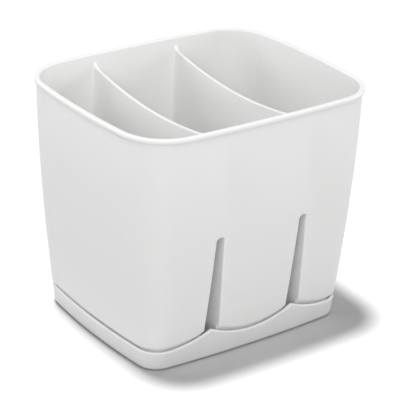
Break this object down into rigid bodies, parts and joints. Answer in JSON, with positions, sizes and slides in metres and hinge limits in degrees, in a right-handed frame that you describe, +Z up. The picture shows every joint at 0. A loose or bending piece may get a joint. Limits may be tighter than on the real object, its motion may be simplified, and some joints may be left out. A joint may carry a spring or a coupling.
{
  "type": "chopstick and cutlery holder",
  "caption": "Open-topped chopstick and cutlery holder: tapered cups in one moulding, divided inside and slotted apart below, standing in a scalloped drip tray.",
  "frame": {"origin": "centre of the drip tray's underside, at the table", "axes": "+Z up, +X along the long front to the right as seen from the front, +Y from the front to the back"},
  "size_m": [0.172, 0.143, 0.15],
  "materials": {
    "white_plastic": "satin injection-moulded polypropylene, neutral white"
  },
  "bodies": {
    "tray": {"drip_tray": "white_plastic"},
    "holder": {"holder": "white_plastic"}
  },
  "joints": [
    {"name": "holder_lift", "type": "slide", "parent": "tray", "child": "holder", "axis": [0, 0, 1], "range_m": [0, 0.06]}
  ]
}
